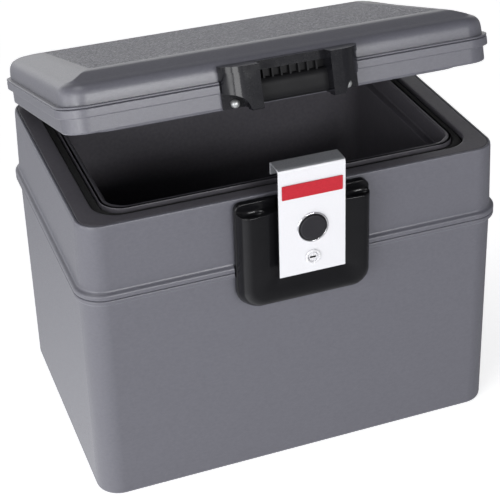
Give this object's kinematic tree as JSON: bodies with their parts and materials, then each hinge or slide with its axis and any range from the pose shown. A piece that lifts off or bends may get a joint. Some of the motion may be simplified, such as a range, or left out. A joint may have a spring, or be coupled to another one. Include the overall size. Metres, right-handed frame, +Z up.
{
  "type": "fireproof document box",
  "caption": "Insulated plastic document chest with a lid hinged at the back, a push-button key latch on the front and a deep cavity for hanging files.",
  "frame": {"origin": "centre of the underside, on the surface the chest stands on", "axes": "+Z up, the front with the latch faces -Y, +X to the right seen from the front"},
  "size_m": [0.398, 0.3155, 0.3996],
  "materials": {
    "grey_shell": "fine grained grey moulding",
    "black_gloss_plastic": "smooth glossy black moulding",
    "liner_plastic": "dark satin moulding",
    "seal_rubber": "soft black foam rubber",
    "insulation": "light mineral foam fill, hidden",
    "latch_white": "smooth pale silver white",
    "badge_red": "plain red label, no lettering",
    "chrome": "bright plated",
    "steel": "plain steel",
    "button_plastic": "satin dark grey"
  },
  "bodies": {
    "chest": {"base_lower_shell": "grey_shell", "base_upper_shell": "grey_shell", "inner_liner": "liner_plastic", "base_insulation": "insulation", "rim_seal": "seal_rubber", "latch_housing": "black_gloss_plastic", "latch_pivot_pin": "steel", "latch_spring": "steel", "hinge_bracket_left": "black_gloss_plastic", "hinge_bracket_right": "black_gloss_plastic", "hinge_pin_left": "steel", "hinge_pin_right": "steel", "bracket_screw_left_inner": "steel", "bracket_screw_left_outer": "steel", "bracket_screw_right_inner": "steel", "bracket_screw_right_outer": "steel"},
    "lid": {"lid_top_shell": "grey_shell", "lid_bottom_shell": "grey_shell", "lid_insulation": "insulation", "lid_handle": "black_gloss_plastic", "handle_rivet_left": "steel", "handle_rivet_right": "steel", "lid_hinge_arm_left": "black_gloss_plastic", "lid_hinge_arm_right": "black_gloss_plastic", "arm_screw_left_inner": "steel", "arm_screw_left_outer": "steel", "arm_screw_right_inner": "steel", "arm_screw_right_outer": "steel"},
    "latch": {"latch_plate": "latch_white", "latch_body": "black_gloss_plastic", "latch_badge": "badge_red", "button_bezel": "chrome", "lock_barrel": "chrome"},
    "button": {"push_button": "button_plastic"},
    "plug": {"lock_plug": "chrome", "lock_cam": "steel"}
  },
  "joints": [
    {"name": "lid_hinge", "type": "hinge", "parent": "chest", "child": "lid", "pos_m": [0, 0.133, 0.2698], "axis": [-1, 0, 0], "range_deg": [-17.05, 78]},
    {"name": "latch_hinge", "type": "hinge", "parent": "chest", "child": "latch", "pos_m": [0, -0.143, 0.224], "axis": [1, 0, 0], "range_deg": [-1.5, 10], "stiffness_Nm_per_rad": 2},
    {"name": "button_press", "type": "slide", "parent": "latch", "child": "button", "axis": [0, 1, 0], "range_m": [0, 0.003], "stiffness_N_per_m": 600},
    {"name": "key_turn", "type": "hinge", "parent": "latch", "child": "plug", "pos_m": [0, -0.155, 0.2276], "axis": [0, 1, 0], "range_deg": [0, 90]}
  ]
}
